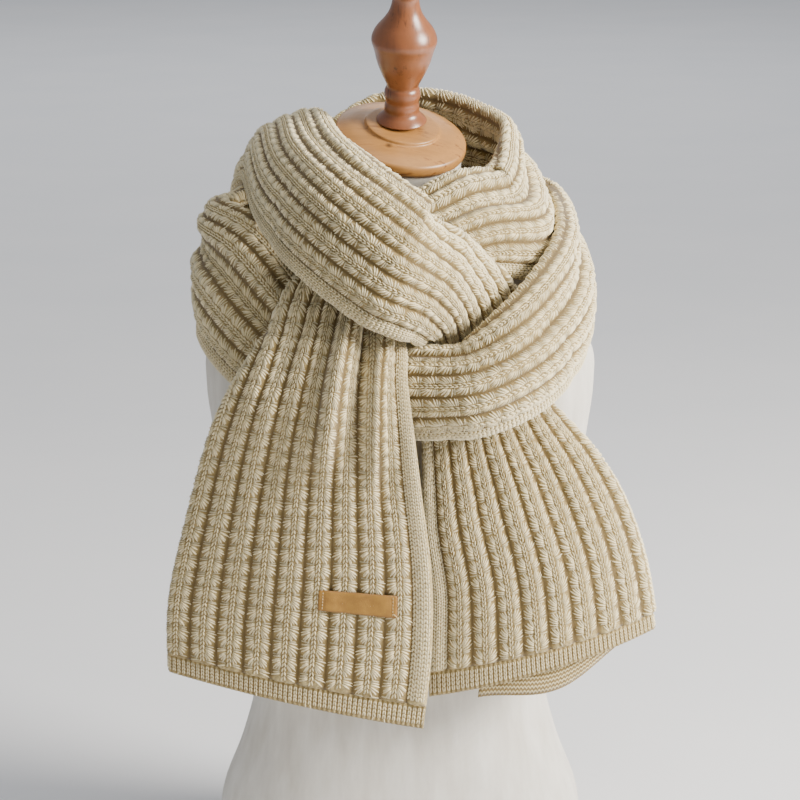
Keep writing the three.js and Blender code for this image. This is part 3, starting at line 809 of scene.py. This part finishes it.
def label_material():
    """Tan faux leather with a fine pebbled grain and worn edges."""
    made = Shader("label_hide", 0.58)
    grain = made.node(
        "ShaderNodeTexVoronoi", {"Vector": made.place, "Scale": 1500.0}, feature="SMOOTH_F1"
    ).outputs["Distance"]
    body = made.ramp(
        made.noise(110.0, 4.0), [(0.3, linear(132, 92, 26)), (0.7, linear(162, 118, 40))]
    )
    made.colour(made.mix(made.math("MULTIPLY", made.value("edge"), 0.7), body, linear(120, 86, 48)))
    made.bump(grain, 0.35, 0.0004)
    made.bump(made.noise(260.0, 3.0), 0.3, 0.0006)
    return made.material


def thread_material():
    made = Shader("label_thread", 0.75, Sheen_Weight=0.2)
    made.colour(
        made.ramp(made.noise(900.0), [(0.3, linear(176, 146, 92)), (0.7, linear(226, 202, 150))])
    )
    made.bump(made.noise(3000.0), 0.4, 0.0003)
    return made.material


def wood_material(name, light, dark, roughness, coat, scale, spot=None):
    """Straight-grained wood: long streaks, fine pores and a soft satin."""
    made = Shader(name, roughness, Coat_Weight=coat, Coat_Roughness=0.25)
    streaks = made.noise(1.0, 5.0, 0.6, made.stretched(scale))
    fine = made.noise(1.0, 4.0, 0.7, made.stretched(tuple(value * 5 for value in scale)))
    blend = made.math("MULTIPLY_ADD", fine, 0.35)
    blend.node.inputs[2].default_value = -0.1
    both = made.math("ADD", streaks, blend)
    body = made.ramp(both, [(0.36, dark), (0.5, light), (0.7, tuple(v * 0.86 for v in light))])
    if spot:
        near = made.node(
            "ShaderNodeVectorMath", {0: made.place, 1: spot}, operation="DISTANCE"
        ).outputs["Value"]
        mark = made.ramp(near, [(0.0011, (1.0,) * 3), (0.0016, (0.0,) * 3)])
        body = made.mix(mark, body, linear(60, 36, 20))
    made.colour(body)
    made.bump(fine, 0.12, 0.0004)
    return made.material


def linen_material():
    """Off-white plain weave with slubs."""
    made = Shader("form_linen", 0.9, Sheen_Weight=0.15, Sheen_Roughness=0.6)
    weave = []
    for turn in ((0, 0, 0), (0, math.pi / 2, 0)):
        weave.append(
            made.node(
                "ShaderNodeTexWave",
                {"Vector": made.stretched((1, 1, 1), turn), "Scale": 420.0, "Distortion": 0.8,
                 "Detail Scale": 3.0},
                bands_direction="Z" if turn == (0, 0, 0) else "X",
            ).outputs["Fac"]
        )
    woven = made.math("ADD", weave[0], weave[1])
    slub = made.noise(60.0, 4.0, 0.6, made.stretched((1, 1, 0.15)))
    tint = made.ramp(slub, [(0.3, linear(214, 208, 196)), (0.7, linear(238, 234, 225))])
    # The weave's darker lines are painted shade between the threads.
    shade = made.ramp(woven, [(0.2, (0.86,) * 3), (0.9, (1.0,) * 3)])
    made.colour(made.mix(1.0, tint, shade, "MULTIPLY"))
    made.bump(woven, 0.35, 0.0004)
    return made.material


# Pieces of the scarf.


def stretch_range(name):
    """Where a stretch starts and ends along the strip."""
    first = sum(len(STATIONS[other]) for other in STRETCH_NAMES[:STRETCH_NAMES.index(name)])
    after = first + len(STATIONS[name])
    start = HEM_HEIGHT if first == 0 else REACH[first]
    end = STRIP_LENGTH - HEM_HEIGHT if after == len(REACH) else REACH[after]
    return float(start), float(end)



def dense_widths(least):
    """Widths from the last rib valley at or before least up to the free border."""
    first = max(0, math.floor((least - FOLDED_EDGE) / RIB_PITCH))
    steps = np.arange(first * DENSE_PER_RIB, RIB_COUNT * DENSE_PER_RIB + 1)
    ribs = FOLDED_EDGE + RIB_PITCH * steps / DENSE_PER_RIB
    border = FREE_BORDER * (1 - np.arange(1, BORDER_COLUMNS + 1) / BORDER_COLUMNS)
    return np.concatenate([ribs, SHEET_WIDTH - border])


def scarf_wall(name, material):
    start, end = stretch_range(name)
    samples = np.linspace(start, end, 60)
    fold, least = fold_at(samples)[:2]
    dense = dense_widths(max(float(np.min(fold - FOLD_LENGTH)), float(np.max(least)) + 6))
    count = TUCKED_COLUMNS_FINE if name in INNER_RIBS else TUCKED_COLUMNS

    def widths_for(row):
        last = float(fold_at(np.array([row]))[1][0])
        tucked = last + (dense[0] - last) * np.arange(count) / count
        return np.concatenate([tucked, dense])

    return wall_piece(name, start, end, ROW_STEP, widths_for, wall_lift, wall_shade, material)


def wall_shade(width, distance):
    """How pale the ground is, as painted shade: brown in the valleys, between fans and in the holes
    beside the spine, pale under the yarn.
    """
    off, ribbed = from_ridge(width)
    below = (rib_at(width) * FAN_DRIFT - distance) % FAN_PITCH
    # notch is low between fans, where the ground gets painted shade.
    notch = np.exp(-(((below - FAN_PITCH / 2) / FAN_PITCH * 2.6) ** 2))
    holes = 1 - HOLE_SHADE * np.exp(-(((np.abs(off) - HOLE_MIDDLE) / HOLE_SPREAD) ** 2))
    return np.where(ribbed, ridge(width) * (0.5 + 0.5 * notch) * holes, BORDER_SHADE)


# Painted shade between the hem's ribs: darker in the gaps, paler on the ribs.
def hem_shade(width, distance):
    return 0.3 + 0.5 * hem_rise(width)


def scarf_hem(name, start, end, material):
    count = COARSE * 2 * round(SHEET_WIDTH / HEM_PITCH)

    def widths_for(row):
        last = float(fold_at(np.array([row]))[1][0])
        return last + (SHEET_WIDTH - last) * np.arange(count + 1) / count

    return wall_piece(name, start, end, HEM_ROW_STEP, widths_for, hem_lift, hem_shade, material)


def strand_piece(name, groups, material):
    """One object for several groups of strands."""
    points, faces, values, total = [], [], [], 0
    for roots, tips, shade, bend, radius, rise, base_for in groups:
        if not len(roots):
            continue
        some, these, numbers = strands(roots, tips, shade, bend, radius, rise, base_for)
        points.append(some)
        faces += [[corner + total for corner in face] for face in these]
        values.append({key: np.ravel(number) for key, number in numbers.items()})
        total += len(some)
    joined = {key: np.concatenate([group[key] for group in values]) for key in values[0]}
    return piece(name, np.concatenate(points), faces, material, "wool_knit", joined)


def make_scarf(yarn, ground):
    deep_ranges = [stretch_range(name) for name in INNER_RIBS]
    groups = []
    for (roots, tips, shade), bow, radius, rise in (
        (fan_strands(), 0.1, FAN_RADIUS, FAN_RISE),
        (chain_strands(), 0.08, CHAIN_RADIUS, CHAIN_RISE),
        (
            plain_strands(
                SHEET_WIDTH - FREE_BORDER + PLAIN_COLUMN * (np.arange(4) + 0.5),
                HEM_HEIGHT,
                STRIP_LENGTH - HEM_HEIGHT,
                PLAIN_PITCH,
                PLAIN_REACH,
            ),
            0.06,
            PLAIN_RADIUS,
            PLAIN_RISE,
        ),
    ):
        deep = np.zeros(len(roots), bool)
        for start, end in deep_ranges:
            deep |= (roots[:, 1] > start) & (roots[:, 1] < end)
        keep = showing(roots, tips, deep)
        keep &= (tips[:, 1] > HEM_HEIGHT) & (roots[:, 1] < STRIP_LENGTH - HEM_HEIGHT)
        roots, tips, shade = roots[keep], tips[keep], shade[keep]
        bend = bow * np.sign(tips[:, 0] - roots[:, 0])
        groups.append((roots, tips, shade, bend, radius, rise))
    for name in STRETCH_NAMES:
        start, end = stretch_range(name)
        made, covered = scarf_wall(name, ground)
        own = []
        for roots, tips, shade, bend, radius, rise in groups:
            pick = (roots[:, 1] >= start) & (roots[:, 1] < end)
            own.append(
                (roots[pick], tips[pick], shade[pick], bend[pick], radius, rise, wall_lift)
            )
        stitches = strand_piece(f"{name}_stitches", own, yarn)
        with_pieces = [stitches]
        hems = {"left_tail": ("left_hem", 0.0, HEM_HEIGHT),
                "right_tail": ("right_hem", STRIP_LENGTH - HEM_HEIGHT, STRIP_LENGTH)}
        if name in hems:
            hem_name, low, high = hems[name]
            hem, _ = scarf_hem(hem_name, low, high, ground)
            centres = HEM_PITCH * (np.arange(round(SHEET_WIDTH / HEM_PITCH)) + 0.5)
            roots, tips, shade = plain_strands(
                centres, low, high + 3.0, HEM_STITCH_PITCH, HEM_STITCH_REACH
            )
            keep = showing(roots, tips, np.ones(len(roots), bool))
            keep &= (tips[:, 1] > low - 0.5) & (roots[:, 1] < high + 0.5)
            roots, tips, shade = roots[keep], tips[keep], shade[keep]
            bend = 0.05 * np.sign(tips[:, 0] - roots[:, 0])
            own = [(roots, tips, shade, bend, HEM_STITCH_RADIUS, HEM_STITCH_RISE, hem_lift)]
            with_pieces += [hem, strand_piece(f"{hem_name}_stitches", own, yarn)]


def make_label(hide, thread):
    """The label, bowed with the ribs, and the stitches along its two short ends."""
    across, up = 49, 13
    u = np.linspace(-0.5, 0.5, across)
    v = np.linspace(-0.5, 0.5, up)
    grid_u, grid_v = np.meshgrid(u, v)
    wide, tall = grid_u * LABEL_WIDE, grid_v * LABEL_TALL
    corner_u = np.maximum(np.abs(wide) - (LABEL_WIDE / 2 - LABEL_CORNER), 0)
    corner_v = np.maximum(np.abs(tall) - (LABEL_TALL / 2 - LABEL_CORNER), 0)
    outside = np.hypot(corner_u, corner_v)
    pull = np.where((corner_u > 0) & (corner_v > 0), LABEL_CORNER / np.maximum(outside, 1e-6), 1)
    wide = np.sign(wide) * (np.abs(wide) - corner_u * (1 - np.minimum(pull, 1)))
    tall = np.sign(tall) * (np.abs(tall) - corner_v * (1 - np.minimum(pull, 1)))
    inwards = np.minimum(LABEL_WIDE / 2 - np.abs(wide), LABEL_TALL / 2 - np.abs(tall))
    edge = np.clip(1 - inwards / 1.2, 0, 1)
    seam = np.exp(-(((np.abs(wide) - LABEL_WIDE / 2 + 4) / 0.9) ** 2))
    wave = 0.35 * np.cos(2 * math.pi * (wide + LABEL_ACROSS - FOLDED_EDGE) / RIB_PITCH)
    top = LABEL_LIFT + LABEL_THICK - 0.3 * edge - 0.35 * seam - 0.25 + wave * 0.6
    low = LABEL_LIFT + wave * 0.6 - 0.1
    upper = place(LABEL_ACROSS + wide, LABEL_ALONG + tall, top)
    lower = place(LABEL_ACROSS + wide, LABEL_ALONG + tall, low)
    count = across * up
    at = np.arange(count).reshape(up, across)
    faces = np.stack([at[:-1, :-1], at[:-1, 1:], at[1:, 1:], at[1:, :-1]], -1).reshape(-1, 4).tolist()
    faces += [[corner + count for corner in face[::-1]] for face in faces]
    border = list(at[0]) + list(at[1:, -1]) + list(at[-1, -2::-1]) + list(at[-2:0:-1, 0])
    for here, after in zip(border, border[1:] + border[:1]):
        faces.append([int(after), int(here), int(here) + count, int(after) + count])
    points = np.concatenate([upper.reshape(-1, 3), lower.reshape(-1, 3)])
    values = {"edge": np.concatenate([edge.ravel(), np.ones(count)])}
    patch = piece("label_hide_patch", points, faces, hide, "label_hide", values, ["label_patch"])

    stitch_rows = []
    for end in (-1, 1):
        for step in np.linspace(-0.36, 0.36, 6):
            across_at = LABEL_ACROSS + end * (LABEL_WIDE / 2 - 4)
            stitch_rows.append((across_at, LABEL_ALONG + step * LABEL_TALL))
    rows = np.array(stitch_rows)
    half = np.array([0.0, 1.0])
    points, faces, values = strands(
        rows - half, rows + half, np.zeros(len(rows)), np.zeros(len(rows)), 0.42, 0.45,
        lambda width, distance: np.full(np.shape(width), LABEL_LIFT + LABEL_THICK - 0.2),
    )
    piece("label_stitches", points, faces, thread, "label_hide", values)

    tail = tube_points(
        place(
            np.array([LABEL_ACROSS + 31, LABEL_ACROSS + 34.5, LABEL_ACROSS + 36, LABEL_ACROSS + 34]),
            np.array([LABEL_ALONG - 5.5, LABEL_ALONG - 8, LABEL_ALONG - 12, LABEL_ALONG - 16]),
            np.array([LABEL_LIFT + 1.2, LABEL_LIFT + 0.9, LABEL_LIFT + 0.2, LABEL_LIFT + 0.1]),
        ),
        0.35,
    )
    piece("label_thread_tail", *tail, thread, "label_hide")
    return patch


def tube_points(path, radius, sides=6, fine=5):
    """A closed round thread along a few points."""
    knots = np.arange(len(path))
    at = np.linspace(0, len(path) - 1, (len(path) - 1) * fine + 1)
    line = np.stack([np.interp(at, knots, path[:, axis]) for axis in range(3)], axis=1)
    for _ in range(3):
        line[1:-1] = (line[:-2] + 2 * line[1:-1] + line[2:]) / 4
    way = unit(np.gradient(line, axis=0))
    first = unit(np.cross(way, np.array([0.3, -1.0, 0.2])))
    second = np.cross(way, first)
    turn = 2 * math.pi * np.arange(sides) / sides
    ring = (
        line[:, None]
        + radius * first[:, None] * np.cos(turn)[None, :, None]
        + radius * second[:, None] * np.sin(turn)[None, :, None]
    )
    rows = np.arange(len(line) * sides).reshape(len(line), sides)
    after = np.roll(rows, -1, axis=1)
    faces = np.stack([rows[:-1], after[:-1], after[1:], rows[1:]], -1).reshape(-1, 4).tolist()
    faces += [rows[0, ::-1].tolist(), rows[-1].tolist()]
    return ring.reshape(-1, 3), faces


# The dress form.


def leaning(forward, sideways):
    return Euler((math.radians(forward), math.radians(sideways), 0)).to_quaternion()


CAP_LEAN = leaning(CAP_FORWARD, CAP_SIDEWAYS)
FINIAL_LEAN = leaning(FINIAL_FORWARD, FINIAL_SIDEWAYS)


def ring_faces(rings, sides):
    rows = np.arange(rings * sides).reshape(rings, sides)
    after = np.roll(rows, -1, axis=1)
    faces = np.stack([rows[:-1], after[:-1], after[1:], rows[1:]], -1).reshape(-1, 4).tolist()
    return faces + [rows[0, ::-1].tolist(), rows[-1].tolist()]


def form_points(rings):
    angle = 2 * math.pi * np.arange(FORM_SIDES) / FORM_SIDES
    points = []
    for z, y, wide, front, back, lean in rings:
        turn = Quaternion().slerp(CAP_LEAN, min(max(lean, 0), 1))
        power = 2 / (FORM_SQUARENESS + (2 - FORM_SQUARENESS) * min(1, max(0, lean) / 0.35))
        cos = np.sign(np.cos(angle)) * np.abs(np.cos(angle)) ** power
        sin = np.sign(np.sin(angle)) * np.abs(np.sin(angle)) ** power
        depth = np.where(sin < 0, front, back)
        for x_part, y_part in zip(wide * FORM_SHRINK * cos, depth * FORM_SHRINK * sin):
            points.append(turn @ Vector((x_part, y_part, 0)) + Vector((0, y, z)))
    return np.array(points)


def make_form(linen, pale, cap_wood, red):
    rings = np.array(FORM_RINGS, float)
    heights = rings[:, 0]
    fine = np.concatenate(
        [np.linspace(low, high, 6)[:-1] for low, high in zip(heights, heights[1:])] + [heights[-1:]]
    )
    slopes = np.gradient(rings, heights, axis=0)
    index = np.clip(np.searchsorted(heights, fine, side="right") - 1, 0, len(heights) - 2)
    span = heights[index + 1] - heights[index]
    part = ((fine - heights[index]) / span)[:, None]
    span = span[:, None]
    smooth_rings = (
        rings[index] * (2 * part**3 - 3 * part**2 + 1)
        + slopes[index] * span * (part**3 - 2 * part**2 + part)
        + rings[index + 1] * (3 * part**2 - 2 * part**3)
        + slopes[index + 1] * span * (part**3 - part**2)
    )
    points = form_points(smooth_rings)
    torso = piece(
        "form_torso", points, ring_faces(len(smooth_rings), FORM_SIDES), linen, "form_cloth",
        replaces=["torso"],
    )
    torso.data.set_sharp_from_angle(angle=math.radians(50))

    low = FORM_RINGS[0]
    grown = (low[2] + BOARD_RIM, low[3] + BOARD_RIM, low[4] + BOARD_RIM)
    outline = [
        (z, 0, grown[0] - inset, grown[1] - inset, grown[2] - inset, 0)
        for z, inset in ((0, 1.2), (1.2, 0), (BOARD_HEIGHT - 2, 0), (BOARD_HEIGHT - 0.6, 0.6),
                         (BOARD_HEIGHT, 2.0))
    ]
    board = piece(
        "form_board", form_points(outline), ring_faces(len(outline), FORM_SIDES), pale,
        "pale_wood", replaces=["base_board"],
    )
    board.data.set_sharp_from_angle(angle=math.radians(50))

    cap_profile = [
        (CAP_RADIUS - 3, -CAP_THICK),
        (CAP_RADIUS, -CAP_THICK + 3),
        (CAP_RADIUS, -2),
        (CAP_RADIUS - 1.2, 0.2),
        (CAP_RADIUS - 3, 1),
        (CAP_RADIUS * 0.8, 4.5),
        (CAP_RADIUS * 0.6, 6.3),
        (CAP_RADIUS * 0.575, 6.9),
        (CAP_RADIUS * 0.57, 8.9),
        (CAP_RADIUS * 0.545, 9.6),
        (0, 10.5),
    ]
    turned("neck_cap", rounded(cap_profile, 2), CAP_LEAN, CAP_CENTRE, cap_wood, "pale_wood")
    seat = CAP_CENTRE + Vector((0, 0, FINIAL_RISE))
    finial = [(0, 2.3), (22.0, 2.3)] + [row for row in FINIAL_PROFILE if row[1] > 3]
    turned("finial", rounded(finial, 3), FINIAL_LEAN, seat, red, "red_wood")


def rounded(profile, times):
    """A profile with its corners cut again and again, which keeps its ends."""
    line = np.array(profile, float)
    for _ in range(times):
        cut = np.empty((2 * len(line) - 2, 2))
        cut[0::2] = line[:-1] * 0.75 + line[1:] * 0.25
        cut[1::2] = line[:-1] * 0.25 + line[1:] * 0.75
        line = np.concatenate([line[:1], cut, line[-1:]])
    return line


def turned(name, profile, lean, centre, material, slot_name):
    """A piece turned round its own axis, which leans."""
    angle = 2 * math.pi * np.arange(TURNED_SIDES) / TURNED_SIDES
    profile = profile[profile[:, 0] > 0.05]
    ring = np.stack(
        [
            profile[:, :1] * np.cos(angle)[None],
            profile[:, :1] * np.sin(angle)[None],
            np.repeat(profile[:, 1:], TURNED_SIDES, axis=1),
        ],
        axis=-1,
    ).reshape(-1, 3)
    matrix = np.array(lean.to_matrix())
    points = ring @ matrix.T + np.array(centre)
    return piece(
        f"turned_{name}", points, ring_faces(len(profile), TURNED_SIDES), material, slot_name,
        replaces=[name],
    )


# Floor, light and camera.


def make_stage():
    made = Shader("floor_paint", 0.85)
    made.colour(
        made.ramp(made.noise(3.0, 4.0), [(0.3, linear(236, 237, 240)), (0.7, linear(241, 241, 243))])
    )
    mesh = bpy.data.meshes.new("floor")
    corners = [(-1, -1, 0), (1, -1, 0), (1, 1, 0), (-1, 1, 0)]
    mesh.from_pydata([tuple(FLOOR_HALF * v for v in corner) for corner in corners], [], [(0, 1, 2, 3)])
    mesh.materials.append(made.material)
    floor = bpy.data.objects.new("floor", mesh)
    bpy.context.scene.collection.objects.link(floor)


def make_light(name, place_at, aim, size, power, colour):
    light = bpy.data.lights.new(name, "AREA")
    light.shape = "DISK"
    light.size = size
    light.energy = power
    light.color = colour
    made = bpy.data.objects.new(name, light)
    made.location = place_at
    made.rotation_euler = (Vector(aim) - Vector(place_at)).to_track_quat("-Z", "Y").to_euler()
    bpy.context.scene.collection.objects.link(made)


def make_lights():
    world = bpy.data.worlds.new("studio")
    world.use_nodes = True
    world.node_tree.nodes["Background"].inputs["Color"].default_value = (0.86, 0.89, 0.94, 1)
    world.node_tree.nodes["Background"].inputs["Strength"].default_value = 0.43
    bpy.context.scene.world = world
    aim = (0, -0.05, 0.45)
    make_light("window", (2.15, -0.8, 1.5), aim, 1.1, 188, (1.0, 0.95, 0.87))
    make_light("top", (0.3, -0.4, 2.4), aim, 1.6, 14, (1.0, 0.98, 0.95))
    make_light("backdrop", (0, 5.2, 3.4), (0, 5.0, 0), 3.6, 70, (0.97, 0.98, 1.0))


def make_camera():
    data = bpy.data.cameras.new("camera")
    data.sensor_width = 36
    data.lens = data.sensor_width * CAMERA_DISTANCE / VIEW_WIDTH
    data.clip_start = 0.05
    camera = bpy.data.objects.new("camera", data)
    tilt = math.radians(CAMERA_ELEVATION)
    back = Vector((0, -math.cos(tilt), math.sin(tilt)))
    camera.location = CAMERA_TARGET + back * CAMERA_DISTANCE
    camera.rotation_euler = (math.pi / 2 - tilt, 0, 0)
    bpy.context.scene.collection.objects.link(camera)
    bpy.context.scene.camera = camera


make_camera()
make_stage()
make_lights()
cap_mark = (-0.009, -0.034, 0.632)
pale_wood = wood_material(
    "pale_wood", linear(226, 196, 156), linear(196, 158, 114), 0.5, 0.15, (14, 160, 160)
)
cap_wood = wood_material(
    "cap_wood", linear(172, 122, 64), linear(114, 72, 34), 0.42, 0.2, (14, 190, 190), cap_mark
)
red_wood = wood_material(
    "red_wood", linear(134, 80, 46), linear(78, 44, 24), 0.32, 0.3, (120, 120, 14)
)
make_form(linen_material(), pale_wood, cap_wood, red_wood)
make_scarf(yarn_material(), knit_material())
make_label(label_material(), thread_material())
